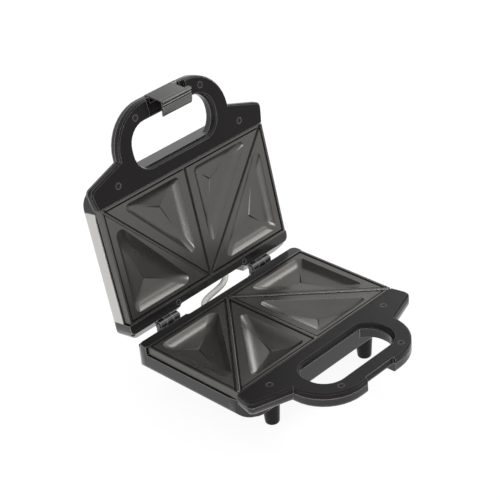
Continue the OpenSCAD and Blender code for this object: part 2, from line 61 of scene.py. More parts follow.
# The cooking face, the hinge and the shut lid's place, read from the frame
barHeight = 0.6                            # mm that the cutting bars stand over the face
plateLow, plateHigh = [Vector(corner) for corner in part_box("base_plate")]
faceZ = plateHigh.z - barHeight * mm       # the base's cooking face
frontY = plateLow.y                        # front edge of the base's plate
halfWidth = plateHigh.x
plateDepth = plateHigh.y - plateLow.y
faceFront = Vector((0, frontY, faceZ))     # points given in mm are measured from here
joints = {joint["name"]: joint for joint in frame["record"]["behaviour"]["joints"]}
hingeAt = Vector(joints["lid_hinge"]["pos_m"])
openAngle = math.radians(joints["lid_hinge"]["range_deg"][1])

toBase = Matrix.Translation(faceFront)
mateGap = 2 * (hingeAt.z - faceZ)
toLid = (Matrix.Translation(hingeAt) @ Matrix.Rotation(-openAngle, 4, "X")
         @ Matrix.Translation(-hingeAt) @ Matrix.Translation((0, frontY, faceZ + mateGap))
         @ Matrix.Diagonal((1, 1, -1, 1)))
toMetres = Matrix.Scale(mm, 4)


def newPiece(name, body, node):
    piece = bpy.data.objects.new(name, bpy.data.meshes.new(name))
    bpy.context.scene.collection.objects.link(piece)
    if body:
        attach(piece, body)
    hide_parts(node)
    return piece


def fillPiece(piece, mesh, material, sharpAngle=28):
    for face in mesh.faces:
        face.smooth = True
    mesh.to_mesh(piece.data)
    mesh.free()
    piece.data.set_sharp_from_angle(angle=math.radians(sharpAngle))
    piece.data.materials.append(material)


def addBevel(piece, width, segments=3, angle=32, flat=True):
    # flat keeps the faces beside a rounded edge evenly shaded
    bevel = piece.modifiers.new("roundEdges", "BEVEL")
    bevel.width = width * mm
    bevel.segments = segments
    bevel.limit_method = "ANGLE"
    bevel.angle_limit = math.radians(angle)
    if flat:
        even = piece.modifiers.new("flatFaces", "WEIGHTED_NORMAL")
        even.weight = 90
        even.keep_sharp = True


nodeCleaning = {"weld": 2e-6, "flatAngle": 0.8}   # metres, degrees


def nodeMesh(node):
    mesh = bmesh.new()
    mesh.from_mesh(frame["nodes"][node].data)
    bmesh.ops.remove_doubles(mesh, verts=mesh.verts, dist=nodeCleaning["weld"])
    bmesh.ops.dissolve_limit(mesh, angle_limit=math.radians(nodeCleaning["flatAngle"]),
                             verts=mesh.verts, edges=mesh.edges)
    return mesh


def dressNode(node, body, material, bevel, cutters=()):
    # A CAD node's own shape, less the cutters, with its edges rounded
    piece = newPiece(node + "_skin", body, node)
    mesh = nodeMesh(node)
    fillPiece(piece, cutAway(mesh, cutters) if cutters else mesh, material)
    addBevel(piece, bevel)


def nodeGroup(name, inputs, outputs):
    group = bpy.data.node_groups.new(name, "ShaderNodeTree")
    for label, value in inputs:
        socket = group.interface.new_socket(label, in_out="INPUT", socket_type="NodeSocketFloat")
        socket.default_value = value
    for label in outputs:
        group.interface.new_socket(label, in_out="OUTPUT", socket_type="NodeSocketFloat")
    return group, group.nodes.new("NodeGroupInput"), group.nodes.new("NodeGroupOutput")


def makeGrainGroup():
    # Fine moulded or cast grain: a mask for roughness and a height for bump
    group, entry, exit = nodeGroup("fineGrain", [("Scale", 900.0), ("Patch", 22.0)],
                                   ["Height", "Patches"])
    nodes, links = group.nodes, group.links
    place = nodes.new("ShaderNodeTexCoord")
    for size, detail, result in (("Scale", 3, "Height"), ("Patch", 4, "Patches")):
        noise = nodes.new("ShaderNodeTexNoise")
        noise.inputs["Detail"].default_value = detail
        links.new(place.outputs["Object"], noise.inputs["Vector"])
        links.new(entry.outputs[size], noise.inputs["Scale"])
        links.new(noise.outputs["Fac"], exit.inputs[result])
    return group


def makePaintedHighlightGroup():
    # A mask of the edges: where a rounded normal leaves the true one; it places painted highlights
    # along them
    group, entry, exit = nodeGroup("paintedEdgeHighlight", [("Width", 0.001)], ["Edge"])
    nodes, links = group.nodes, group.links
    shape = nodes.new("ShaderNodeNewGeometry")
    rounded = nodes.new("ShaderNodeBevel")
    rounded.samples = 8
    links.new(entry.outputs["Width"], rounded.inputs["Radius"])
    between = nodes.new("ShaderNodeVectorMath")
    between.operation = "DOT_PRODUCT"
    links.new(rounded.outputs["Normal"], between.inputs[0])
    links.new(shape.outputs["Normal"], between.inputs[1])
    spread = nodes.new("ShaderNodeMapRange")
    spread.inputs["From Min"].default_value = 0.99   # the mask starts at this bend
    spread.inputs["From Max"].default_value = 0.94   # and is full at this one
    links.new(between.outputs["Value"], spread.inputs["Value"])
    links.new(spread.outputs["Result"], exit.inputs["Edge"])
    return group


grainGroup = makeGrainGroup()
paintedHighlightGroup = makePaintedHighlightGroup()


def newMaterial(name):
    material = bpy.data.materials.new(name)
    material.use_nodes = True
    nodes, links = material.node_tree.nodes, material.node_tree.links
    return material, nodes, links, nodes["Principled BSDF"]


def feed(links, value, socket):
    # value is another node's socket, or a plain number
    if isinstance(value, bpy.types.NodeSocket):
        links.new(value, socket)
    else:
        socket.default_value = value


def mathNode(nodes, links, operation, *values):
    node = nodes.new("ShaderNodeMath")
    node.operation = operation
    for value, socket in zip(values, node.inputs):
        feed(links, value, socket)
    return node.outputs["Value"]


def mixColour(nodes, links, factor, first, second):
    mix = nodes.new("ShaderNodeMix")
    mix.data_type = "RGBA"
    links.new(factor, mix.inputs["Factor"])
    feed(links, first, mix.inputs["A"])
    mix.inputs["B"].default_value = (*second, 1)
    return mix.outputs["Result"]


def mapTo(nodes, links, value, lowest, highest):
    spread = nodes.new("ShaderNodeMapRange")
    spread.inputs["To Min"].default_value = lowest
    spread.inputs["To Max"].default_value = highest
    links.new(value, spread.inputs["Value"])
    return spread.outputs["Result"]


def addRelief(nodes, links, shader, height, strength, distance):
    relief = nodes.new("ShaderNodeBump")
    relief.inputs["Strength"].default_value = strength
    relief.inputs["Distance"].default_value = distance
    links.new(height, relief.inputs["Height"])
    links.new(relief.outputs["Normal"], shader.inputs["Normal"])


def finishMaterial(name, dark, pale, rough, grain=900, bump=0.05, metal=0.0, edge=None,
                   specular=0.5, grainHeight=0.0002):
    # A moulded, cast or coated surface; edge is a pale colour painted along its edges as a
    # highlight
    material, nodes, links, shader = newMaterial(name)
    texture = nodes.new("ShaderNodeGroup")
    texture.node_tree = grainGroup
    texture.inputs["Scale"].default_value = grain
    colour = mixColour(nodes, links, texture.outputs["Patches"], (*dark, 1), pale)
    # painted highlight: the edges are mixed towards the pale edge colour
    if edge:
        highlightMask = nodes.new("ShaderNodeGroup")
        highlightMask.node_tree = paintedHighlightGroup
        colour = mixColour(nodes, links, highlightMask.outputs["Edge"], colour, edge)
    links.new(colour, shader.inputs["Base Color"])
    links.new(mapTo(nodes, links, texture.outputs["Patches"], *rough), shader.inputs["Roughness"])
    addRelief(nodes, links, shader, texture.outputs["Height"], bump, grainHeight)
    shader.inputs["Metallic"].default_value = metal
    shader.inputs["Specular IOR Level"].default_value = specular
    return material


steelLook = {
    "dark": (0.46, 0.45, 0.435), "pale": (0.62, 0.605, 0.585), "rough": (0.24, 0.42),
    "stretch": (12, 900, 900), "scale": 2.2, "detail": 6, "bump": 0.12, "bumpDistance": 0.0001,
}


def brushedSteel(look):
    # Brushed from side to side: noise drawn out along x
    material, nodes, links, shader = newMaterial("brushedSteel")
    place = nodes.new("ShaderNodeTexCoord")
    stretch = nodes.new("ShaderNodeMapping")
    stretch.inputs["Scale"].default_value = look["stretch"]
    streak = nodes.new("ShaderNodeTexNoise")
    streak.inputs["Scale"].default_value = look["scale"]
    streak.inputs["Detail"].default_value = look["detail"]
    links.new(place.outputs["Object"], stretch.inputs["Vector"])
    links.new(stretch.outputs["Vector"], streak.inputs["Vector"])
    lines = streak.outputs["Fac"]
    links.new(mixColour(nodes, links, lines, (*look["dark"], 1), look["pale"]),
              shader.inputs["Base Color"])
    links.new(mapTo(nodes, links, lines, *look["rough"]), shader.inputs["Roughness"])
    addRelief(nodes, links, shader, lines, look["bump"], look["bumpDistance"])
    shader.inputs["Metallic"].default_value = 1
    return material


sleeveLook = {
    "dark": (0.58, 0.57, 0.54), "pale": (0.85, 0.84, 0.8), "rough": 0.6,
    "turn": 42, "threads": 520, "bump": 0.5, "bumpDistance": 0.0003,
}


def wovenSleeve(look):
    # Two crossed sets of threads, the higher one showing
    material, nodes, links, shader = newMaterial("wovenSleeve")
    place = nodes.new("ShaderNodeTexCoord")
    threads = []
    for turn in (look["turn"], -look["turn"]):
        lie = nodes.new("ShaderNodeMapping")
        lie.inputs["Rotation"].default_value = (0, 0, math.radians(turn))
        wave = nodes.new("ShaderNodeTexWave")
        wave.inputs["Scale"].default_value = look["threads"]
        links.new(place.outputs["Object"], lie.inputs["Vector"])
        links.new(lie.outputs["Vector"], wave.inputs["Vector"])
        threads.append(wave.outputs["Fac"])
    weave = mathNode(nodes, links, "MAXIMUM", *threads)
    links.new(mixColour(nodes, links, weave, (*look["dark"], 1), look["pale"]),
              shader.inputs["Base Color"])
    addRelief(nodes, links, shader, weave, look["bump"], look["bumpDistance"])
    shader.inputs["Roughness"].default_value = look["rough"]
    return material


coatedPlate = finishMaterial("coatedPlate", (0.082, 0.08, 0.075), (0.11, 0.107, 0.1),
                             (0.24, 0.32), grain=1400, bump=0.12, metal=0.85)
# the edge colours below are painted highlights along the edges, mixed in by the edge mask
handleBlack = finishMaterial("handleBlack", (0.005, 0.004, 0.0043), (0.008, 0.0064, 0.0068),
                             (0.3, 0.4), grain=2200, bump=0.1, edge=(0.17, 0.165, 0.16),
                             specular=0.13)
glossBlack = finishMaterial("glossBlack", (0.004, 0.004, 0.004), (0.007, 0.007, 0.007),
                            (0.14, 0.2), grain=700, bump=0.02, edge=(0.16, 0.16, 0.16))
latchGrey = finishMaterial("latchGrey", (0.085, 0.085, 0.083), (0.11, 0.11, 0.107),
                           (0.28, 0.38), grain=1600, bump=0.08, metal=0.7,
                           edge=(0.25, 0.25, 0.245))
darkSteel = finishMaterial("darkSteel", (0.07, 0.07, 0.068), (0.13, 0.13, 0.125),
                           (0.22, 0.34), metal=0.9, bump=0.1)
screwBlack = finishMaterial("screwBlack", (0.025, 0.025, 0.025), (0.045, 0.045, 0.044),
                            (0.25, 0.36), metal=0.85, bump=0.1, edge=(0.03, 0.03, 0.029))
padRubber = finishMaterial("padRubber", (0.02, 0.02, 0.02), (0.03, 0.03, 0.03),
                           (0.6, 0.8), grain=1200, bump=0.2)
tubeSteel = finishMaterial("tubeSteel", (0.16, 0.13, 0.11), (0.3, 0.27, 0.24),
                           (0.35, 0.5), metal=1.0, bump=0.2)
trayMetal = finishMaterial("trayMetal", (0.6, 0.6, 0.61), (0.75, 0.75, 0.76),
                           (0.22, 0.34), metal=1.0, bump=0.1)
steatite = finishMaterial("steatite", (0.62, 0.6, 0.53), (0.74, 0.72, 0.66),
                          (0.5, 0.65), grain=1500, bump=0.2)
redLens = finishMaterial("redLens", (0.5, 0.02, 0.012), (0.62, 0.04, 0.02),
                         (0.08, 0.14), bump=0.02)
greenLens = finishMaterial("greenLens", (0.02, 0.32, 0.06), (0.04, 0.42, 0.09),
                           (0.08, 0.14), bump=0.02)
steel = brushedSteel(steelLook)
sleeve = wovenSleeve(sleeveLook)
print("materials made")

# The two cooking plates, in mm from the plate's front edge and its face; up is out of the face
plateSizes = {
    "edgeHeight": 8.5, "edgeRadius": 1.6, "undersideInset": 3.2, "undersideDrop": 3,
    "rimWidth": 2.2, "rimDrop": 0.3, "rimLift": 0.3, "rounding": 0.3,
    "channelWidth": 1.9, "channelDepth": 2.2, "channelSplay": 0.25,
    "pocketDepth": 9.0, "cornerSegments": 9, "creaseReach": 0.6, "creaseWidth": 1.0,
    "frontPocketRadius": 4.5, "sidePocketRadius": 6.5,
    "barWidth": 3.2, "barFoot": 1.4, "barStop": 2, "barRounding": 0.45,
    "grooveWidth": 2.0, "grooveDepth": 2.4, "grooveSplay": 0.3, "seamWidth": 4.4, "seamSplay": 0.5,
    "grooveStart": 3, "grooveStop": 2.2,
    # inset from the pocket's outline, depth as a share, corner radius as a share
    "bowl": [(-0.5, -0.2, 1.1), (0, 0, 1), (0.12, 0.04, 1), (0.35, 0.09, 1), (0.7, 0.145, 1),
             (1.4, 0.235, 1), (2.6, 0.37, 0.98), (3.8, 0.49, 0.95), (5, 0.59, 0.92),
             (6.2, 0.665, 0.88), (7.4, 0.72, 0.83), (8.6, 0.76, 0.77), (10, 0.795, 0.7),
             (11.6, 0.825, 0.6), (13.4, 0.855, 0.48)],
}
overCut = 1                                # mm that a cutter stands over what it cuts
frontPocket = [Vector(p) for p in ((10.7, 7), (87, 7), (10.7, 97.2))]
sidePocket = [Vector(p) for p in ((101.5, 117.5), (101.5, 14.9), (20.7, 117.5))]


def inCentre(corners):
    sides = [(corners[(i + 1) % 3] - corners[(i + 2) % 3]).length for i in range(3)]
    return sum((corners[i] * sides[i] for i in range(3)), Vector((0, 0))) / sum(sides)


def ringPoints(corners, inset, radius, segments):
    # One ring of a rounded triangle, its outline moved in by inset
    points = []
    for i in range(3):
        here, back, ahead = corners[i], corners[i - 1], corners[(i + 1) % 3]
        u, v = (back - here).normalized(), (ahead - here).normalized()
        half = math.acos(max(-1, min(1, u.dot(v)))) / 2
        centre = here + (u + v).normalized() * (inset + radius) / math.sin(half)
        first = math.atan2(*reversed((u * math.cos(half) - (u + v).normalized())[:]))
        last = math.atan2(*reversed((v * math.cos(half) - (u + v).normalized())[:]))
        turn = (last - first + math.pi) % (2 * math.pi) - math.pi
        for k in range(segments + 1):
            angle = first + turn * k / segments
            points.append(centre + Vector((math.cos(angle), math.sin(angle))) * radius)
    return points


def vertsOf(made):
    return [item for item in made if isinstance(item, bmesh.types.BMVert)]


def makePlug(corners, radius, sizes):
    # The air in a pocket, as a closed solid that is cut from the plate
    plug = bmesh.new()
    depth, segments = sizes["pocketDepth"], sizes["cornerSegments"]
    for number, (inset, share, roundness) in enumerate(sizes["bowl"]):
        points = ringPoints(corners, inset, radius * roundness, segments)
        if number == 0:
            ring = [plug.verts.new((p.x, p.y, -share * depth)) for p in points]
            top = plug.faces.new(ring)
            edges = list(top.edges)
        else:
            made = bmesh.ops.extrude_edge_only(plug, edges=edges)["geom"]
            ring = vertsOf(made)
            edges = [item for item in made if isinstance(item, bmesh.types.BMEdge)
                     and all(v in ring for v in item.verts)]
            # each new vertex takes the place beside the one it was drawn from
            order = sorted(range(len(ring)), key=lambda k: min(
                range(len(previous)), key=lambda j: (previous[j] - ring[k].co).length))
            for point, k in zip(points, order):
                ring[k].co = Vector((point.x, point.y, -share * depth))
        previous = [Vector((p.x, p.y, -share * depth)) for p in points]
    floor = bmesh.ops.contextual_create(plug, geom=edges)["faces"]
    poked = bmesh.ops.poke(plug, faces=floor)
    low = inCentre(corners)
    poked["verts"][0].co = Vector((low.x, low.y, -depth))
    bmesh.ops.recalc_face_normals(plug, faces=plug.faces)
    return plug


def creaseCutter(corners, toward, sizes):
    # A fine pressed line from a pocket's middle towards one corner, running out to nothing
    low = inCentre(corners)
    inset, share = sizes["bowl"][-1][:2]
    tip, overlap = 0.04, 0.2                # mm: the thin end's radius, spare length at each end
    sides = [(corners[(i + 1) % 3] - corners[i]) for i in range(3)]
    area = abs(sides[0].x * sides[1].y - sides[0].y * sides[1].x)
    inner = area / sum(side.length for side in sides)
    reach = min(sizes["creaseReach"], 1 - inset / inner)
    rise = sizes["pocketDepth"] * (1 - share) * reach / (1 - inset / inner)
    end = low + (toward - low) * reach
    start = Vector((low.x, low.y, -sizes["pocketDepth"]))
    run = Vector((end.x, end.y, -sizes["pocketDepth"] + rise)) - start
    wedge = bmesh.new()
    bmesh.ops.create_cone(wedge, segments=4, radius1=sizes["creaseWidth"], radius2=tip,
                          depth=run.length + 2 * overlap, cap_ends=True)
    lie = run.to_track_quat("Z", "Y").to_matrix().to_4x4()
    bmesh.ops.transform(wedge, verts=wedge.verts, matrix=(
        Matrix.Translation(start + run * 0.5 - run.normalized() * overlap) @ lie))
    return wedge


def strip(start, end, width, low, high, splay=0):
    # A straight bar between two heights; splay widens it upwards from its width at height 0
    bar = bmesh.new()
    bmesh.ops.create_cube(bar, size=1)
    for vert in bar.verts:
        level = low if vert.co.z < 0 else high
        vert.co.y *= 1 + 2 * splay * level / width
    run = Vector(end) - Vector(start)
    middle = (Vector(end) + Vector(start)) / 2
    bmesh.ops.transform(bar, verts=bar.verts, matrix=(
        Matrix.Translation((middle.x, middle.y, (low + high) / 2))
        @ Matrix.Rotation(math.atan2(run.y, run.x), 4, "Z")
        @ Matrix.Diagonal((run.length, width, high - low, 1))))
    return bar


def scratchObject(mesh, name):
    data = bpy.data.meshes.new(name)
    mesh.to_mesh(data)
    mesh.free()
    item = bpy.data.objects.new(name, data)
    bpy.context.scene.collection.objects.link(item)
    return item


def inOneOrder(mesh):
    # Cutting and bevelling leave points and faces in any order; this gives each run the same one
    points = sorted(mesh.verts, key=lambda vert: vert.co[:])
    rank = {vert: number for number, vert in enumerate(points)}
    rings = []
    for face in mesh.faces:
        ring = [rank[vert] for vert in face.verts]
        first = ring.index(min(ring))
        rings.append(ring[first:] + ring[:first])
    ordered = bmesh.new()
    corners = [ordered.verts.new(vert.co) for vert in points]
    for ring in sorted(rings):
        ordered.faces.new([corners[number] for number in ring])
    mesh.free()
    return ordered


def cutAway(body, cutters):
    # body less each cutter, as a new bmesh; the scratch objects are removed again
    solid = scratchObject(body, "solid")
    tools = [scratchObject(cutter, "cutter") for cutter in cutters]
    for tool in tools:
        cut = solid.modifiers.new("cut", "BOOLEAN")
        cut.operation = "DIFFERENCE"
        cut.solver = "EXACT"
        cut.object = tool
    bpy.context.view_layer.update()
    result = bmesh.new()
    result.from_object(solid, bpy.context.evaluated_depsgraph_get())
    for item in tools + [solid]:
        data = item.data
        bpy.data.objects.remove(item)
        bpy.data.meshes.remove(data)
    return inOneOrder(result)


def joinInto(whole, part):
    held = bpy.data.meshes.new("held")
    part.to_mesh(held)
    part.free()
    whole.from_mesh(held)
    bpy.data.meshes.remove(held)


def plateSlab(wide, deep, sizes):
    # The plate before it is cut: a slab with rounded corners whose underside narrows
    slab = bmesh.new()
    bmesh.ops.create_cube(slab, size=1)
    tall = sizes["edgeHeight"] + sizes["rimLift"]
    bmesh.ops.transform(slab, verts=slab.verts, matrix=(
        Matrix.Translation((0, deep / 2, sizes["rimLift"] - tall / 2))
        @ Matrix.Diagonal((2 * wide, deep, tall, 1))))
    bottom = min(slab.faces, key=lambda face: face.calc_center_median().z)
    bmesh.ops.inset_region(slab, faces=[bottom], thickness=sizes["undersideInset"], depth=0)
    bmesh.ops.translate(slab, verts=bottom.verts, vec=(0, 0, -sizes["undersideDrop"]))
    upright = [edge for edge in slab.edges
               if abs(edge.verts[0].co.z - edge.verts[1].co.z) > sizes["edgeHeight"] - 1]
    bmesh.ops.bevel(slab, geom=upright, offset=sizes["edgeRadius"], affect="EDGES", segments=4,
                    profile=0.5, material=-1)
    return slab


def pocketCutters(sizes):
    plugs, creases = [], []
    for corners, radius in ((frontPocket, sizes["frontPocketRadius"]),
                            (sidePocket, sizes["sidePocketRadius"])):
        for side in (1, -1):
            outline = [Vector((p.x * side, p.y)) for p in corners]
            plugs.append(makePlug(outline, radius, sizes))
            creases += [creaseCutter(outline, corner, sizes) for corner in outline]
    return plugs, creases


def faceCutters(wide, deep, sizes):
    # What lowers the face inside the rim, and the channel that runs round it
    rim, half, tall = sizes["rimWidth"], sizes["channelWidth"] / 2, 10
    inner = bmesh.new()
    bmesh.ops.create_cube(inner, size=1)
    bmesh.ops.transform(inner, verts=inner.verts, matrix=(
        Matrix.Translation((0, deep / 2, tall / 2 - sizes["rimDrop"]))
        @ Matrix.Diagonal((2 * (wide - rim), deep - 2 * rim, tall, 1))))
    low = -sizes["channelDepth"] - sizes["rimDrop"]
    return [inner] + [
        strip(start, end, sizes["channelWidth"], low, overCut, sizes["channelSplay"])
        for start, end in (((rim - wide, rim + half), (wide - rim, rim + half)),
                           ((rim - wide, deep - rim - half), (wide - rim, deep - rim - half)),
                           ((rim - wide + half, rim), (rim - wide + half, deep - rim)),
                           ((wide - rim - half, rim), (wide - rim - half, deep - rim)))]


def grooveCutters(hub, ends, raised, sizes):
    # A groove on each side of a raised bar, or one wide seam that takes the other plate's bar
    grooves = []
    low = -sizes["grooveDepth"] - sizes["rimDrop"]
    for end in ends:
        run = (end - hub).normalized()
        near, far = hub + run * sizes["grooveStart"], end - run * sizes["grooveStop"]
        if raised:
            for side in (1, -1):
                aside = (Vector((-run.y, run.x)) * side
                         * (sizes["barWidth"] / 2 + sizes["grooveWidth"] / 2))
                grooves.append(strip(near + aside, far + aside, sizes["grooveWidth"], low,
                                     overCut, sizes["grooveSplay"]))
        else:
            grooves.append(strip(near, far, sizes["seamWidth"], low, overCut, sizes["seamSplay"]))
    return grooves


def makePlate(piece, place, raised, sizes):
    wide, deep = halfWidth / mm, plateDepth / mm
    hub = Vector((0, deep - 1))                      # the bars meet here and run to the front
    ends = [Vector((wide - 1, 0)), Vector((0, 0)), Vector((1 - wide, 0))]
    plugs, creases = pocketCutters(sizes)
    solid = cutAway(plateSlab(wide, deep, sizes), plugs + faceCutters(wide, deep, sizes)
                    + grooveCutters(hub, ends, raised, sizes) + creases)
    if raised:
        for end in ends:
            bar = strip(hub, end - (end - hub).normalized() * sizes["barStop"],
                        sizes["barWidth"], -sizes["barFoot"], barHeight)
            bmesh.ops.bevel(bar, geom=bar.edges, offset=sizes["barRounding"], affect="EDGES",
                            segments=2, profile=0.5, material=-1)
            joinInto(solid, bar)
    bmesh.ops.remove_doubles(solid, verts=solid.verts, dist=0.002)
    bmesh.ops.transform(solid, verts=solid.verts, matrix=place @ toMetres)
    bmesh.ops.recalc_face_normals(solid, faces=solid.faces)
    fillPiece(piece, solid, coatedPlate, 14)
    addBevel(piece, sizes["rounding"], 2, 40, flat=False)


basePlate = newPiece("basePlate", "base", "base_plate")
makePlate(basePlate, toBase, True, plateSizes)
lidPlate = newPiece("lidPlate", "lid", "lid_plate")
makePlate(lidPlate, toLid, False, plateSizes)
print("plates made")

# The casings' rear corners, in mm like the plates; lean is in degrees
caseSizes = {
    "side": 112.26, "rear": 136, "cornerRadius": 6.5, "lean": 15, "high": 5, "low": -6,
    "flare": 2.4, "steps": 8, "spare": (3, 2),
}


def cornerCutter(side, sizes, place):
    # The waste outside a rounded rear corner, where the side leans in to the deck's rear edge
    lean, radius = math.radians(sizes["lean"]), sizes["cornerRadius"]
    high, steps, (spareX, spareY) = sizes["high"], sizes["steps"], sizes["spare"]
    corner = Vector((sizes["side"], sizes["rear"]))
    back, flank = Vector((-1, 0)), Vector((math.sin(lean), -math.cos(lean)))
    reach = radius / math.tan(math.acos(back.dot(flank)) / 2)
    centre = corner + (back + flank).normalized() * math.hypot(reach, radius)
    outline = [corner + flank * reach]
    first = math.atan2(*reversed((outline[0] - centre)[:]))
    last = math.pi / 2
    for k in range(1, steps + 1):
        angle = first + (last - first) * k / steps
        outline.append(centre + Vector((math.cos(angle), math.sin(angle))) * radius)
    outline += [Vector((outline[-1].x, corner.y + spareY)), corner + Vector((spareX, spareY)),
                outline[0] + Vector((spareX, 0))]
    waste = bmesh.new()
    flare = -sizes["flare"] / sizes["low"] * math.sqrt(0.5)
    foot = waste.faces.new([
        waste.verts.new(((p.x - flare * high) * side, p.y - flare * high, high)) for p in outline])
    made = bmesh.ops.extrude_face_region(waste, geom=[foot])["geom"]
    bmesh.ops.translate(waste, verts=vertsOf(made),
                        vec=Vector((flare * side, flare, -1)) * (high - sizes["low"]))
    bmesh.ops.transform(waste, verts=waste.verts, matrix=place @ toMetres)
    bmesh.ops.recalc_face_normals(waste, faces=waste.faces)
    return waste


# node, body, slot, finish, rounding in mm
dressed = [
    ("base_casing", "base", "black_plastic", glossBlack, 0.5),
    ("base_handle", "base", "handle_plastic", handleBlack, 0.35),
    ("base_handle_shell", "base", "black_plastic", glossBlack, 0.5),
    ("lid_casing", "lid", "black_plastic", glossBlack, 0.5),
    ("lid_handle", "lid", "handle_plastic", handleBlack, 0.35),
    ("lid_handle_shell", "lid", "black_plastic", glossBlack, 0.5),
    ("lid_cover", "lid", "steel_cover", steel, 0.3),
    ("foot_front_left", "base", "black_plastic", handleBlack, 0.3),
    ("foot_front_right", "base", "black_plastic", handleBlack, 0.3),
    ("foot_rear_left", "base", "black_plastic", handleBlack, 0.3),
    ("foot_rear_right", "base", "black_plastic", handleBlack, 0.3),
]
casingPlaces = {"base_casing": toBase, "lid_casing": toLid}
for node, body, slot, material, rounding in dressed:
    corners = [cornerCutter(side, caseSizes, casingPlaces[node]) for side in (1, -1)
               if node in casingPlaces]
    dressNode(node, body, material, rounding, corners)
print("casings dressed")

# The latch: a back plate on a barrel, and a head with a rib, two grooves and the hook.
# Its profiles are y and z in mm, in the lid's own frame as it lies shut
latchSizes = {
    "pivot": (-79.1, -8), "barrel": 3.2, "left": -19.5, "right": 19.5, "plateRight": 14.6,
    "headInset": 0.3, "rounding": 0.45,
    "plate": [(-82.2, -8), (-78.1, 13.4), (-76.2, 13.4), (-79.6, -8)],
    "head": [(-78.5, 11.6), (-78.2, 14.4), (-77.5, 15.6), (-76.4, 16), (-75.6, 15.5),
             (-75.2, 13.3), (-74, 12.7), (-73.6, 14.5), (-72.8, 14.7), (-72.4, 12.9),
             (-71.4, 12.5), (-71, 14.1), (-69.4, 14.2), (-66, 13.6), (-63, 12.4), (-61.2, 11),
             (-60.8, 9.9), (-61.5, 9.1), (-64, 9.7), (-70, 11.3), (-76.4, 11.8)],
}


def extruded(outline, left, right, rounding):
    # A side profile drawn out from left to right, with its two ends rounded
    shape = bmesh.new()
    side = shape.faces.new([shape.verts.new((left, y, z)) for y, z in outline])
    made = bmesh.ops.extrude_face_region(shape, geom=[side])["geom"]
    bmesh.ops.translate(shape, verts=vertsOf(made), vec=(right - left, 0, 0))
    bmesh.ops.recalc_face_normals(shape, faces=shape.faces)
    ends = [edge for edge in shape.edges
            if any(abs(face.normal.x) > 0.9 for face in edge.link_faces)]
    bmesh.ops.bevel(shape, geom=ends, offset=rounding, affect="EDGES", segments=3,
                    profile=0.5, material=-1)
    return shape


def makeLatch(sizes):
    left, right = sizes["left"], sizes["right"]
    shape = extruded(sizes["plate"], left, sizes["plateRight"], sizes["rounding"])
    joinInto(shape, extruded(sizes["head"], left + sizes["headInset"], right, sizes["rounding"]))
    barrel = bmesh.new()
    bmesh.ops.create_cone(barrel, segments=40, radius1=sizes["barrel"], radius2=sizes["barrel"],
                          depth=right - left, cap_ends=True)
    bmesh.ops.transform(barrel, verts=barrel.verts, matrix=(
        Matrix.Translation((0, *sizes["pivot"])) @ Matrix.Rotation(math.radians(90), 4, "Y")))
    joinInto(shape, barrel)
    bmesh.ops.transform(shape, verts=shape.verts, matrix=toLid @ toMetres)
    bmesh.ops.recalc_face_normals(shape, faces=shape.faces)
    return inOneOrder(shape)


latchPiece = newPiece("latchPiece", "latch", "latch")
fillPiece(latchPiece, makeLatch(latchSizes), latchGrey, 35)
print("latch made")

# Hinges, screws and hidden pieces keep their CAD shapes and get a finish
plainNodes = {
    "hinge_pin_left": darkSteel, "hinge_pin_right": darkSteel, "latch_pin": darkSteel,
    "base_face_screws": screwBlack, "lid_face_screws": screwBlack, "lid_rear_screws": screwBlack,
    "base_heater": tubeSteel, "lid_heater": tubeSteel,
    "base_reflector": trayMetal, "lid_reflector": trayMetal,
    "thermostat": steatite, "thermal_fuse": steatite, "terminal_block": steatite,
    "cord_inlet": padRubber, "base_lead_gland": padRubber, "lid_lead_gland": padRubber,
    "foot_pads": padRubber, "power_lamp": redLens, "ready_lamp": greenLens,
}
for node, material in plainNodes.items():
    item = frame["nodes"][node]
    item.data.materials.clear()
    item.data.materials.append(material)
print("small parts finished")

# The lead from the base's gland to the lid's
leadSizes = {
    "width": 6.4, "order": 4, "stepsBetweenPoints": 8, "roundness": 8,
    "points": [(-20, 134.5, -9.5), (-20, 138, -9.5), (-17, 143, -7.2), (-8, 146, -6),
               (2, 147.3, -5.5), (11, 148.3, -5.2), (19, 149.5, -4), (24, 150.5, -1.4),
               (26, 151.38, 1.8), (26, 152.07, 5.74)],
}


def makeLead(places, sizes):
    curve = bpy.data.curves.new("leadRun", "CURVE")
    curve.dimensions = "3D"
    run = curve.splines.new("NURBS")
    run.points.add(len(places) - 1)
    for point, place in zip(run.points, places):
        point.co = (*place, 1)
    run.use_endpoint_u = True
    run.order_u = sizes["order"]
    run.resolution_u = sizes["stepsBetweenPoints"]
    curve.bevel_depth = sizes["width"] / 2 * mm
    curve.bevel_resolution = sizes["roundness"]
    curve.use_fill_caps = True
    scratch = bpy.data.objects.new("leadRun", curve)
    bpy.context.scene.collection.objects.link(scratch)
    bpy.context.view_layer.update()
    tube = bmesh.new()
    tube.from_mesh(bpy.data.meshes.new_from_object(
        scratch.evaluated_get(bpy.context.evaluated_depsgraph_get())))
    bpy.data.objects.remove(scratch)
    bmesh.ops.recalc_face_normals(tube, faces=tube.faces)
    return tube


lead = newPiece("linkLead", None, "link_lead")
leadPlaces = [Vector(point) * mm + faceFront for point in leadSizes["points"]]
fillPiece(lead, makeLead(leadPlaces, leadSizes), sleeve, 50)
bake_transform(lead)
print("lead made")

floorSettings = {
    "halfSide": 4, "colour": 0.9, "rough": 0.9, "specular": 0.1,
    "white": 1.06,                       # strength of the white that rays see
    "cameraShare": 0.85,                 # the camera sees this much of it and keeps the shadow
}


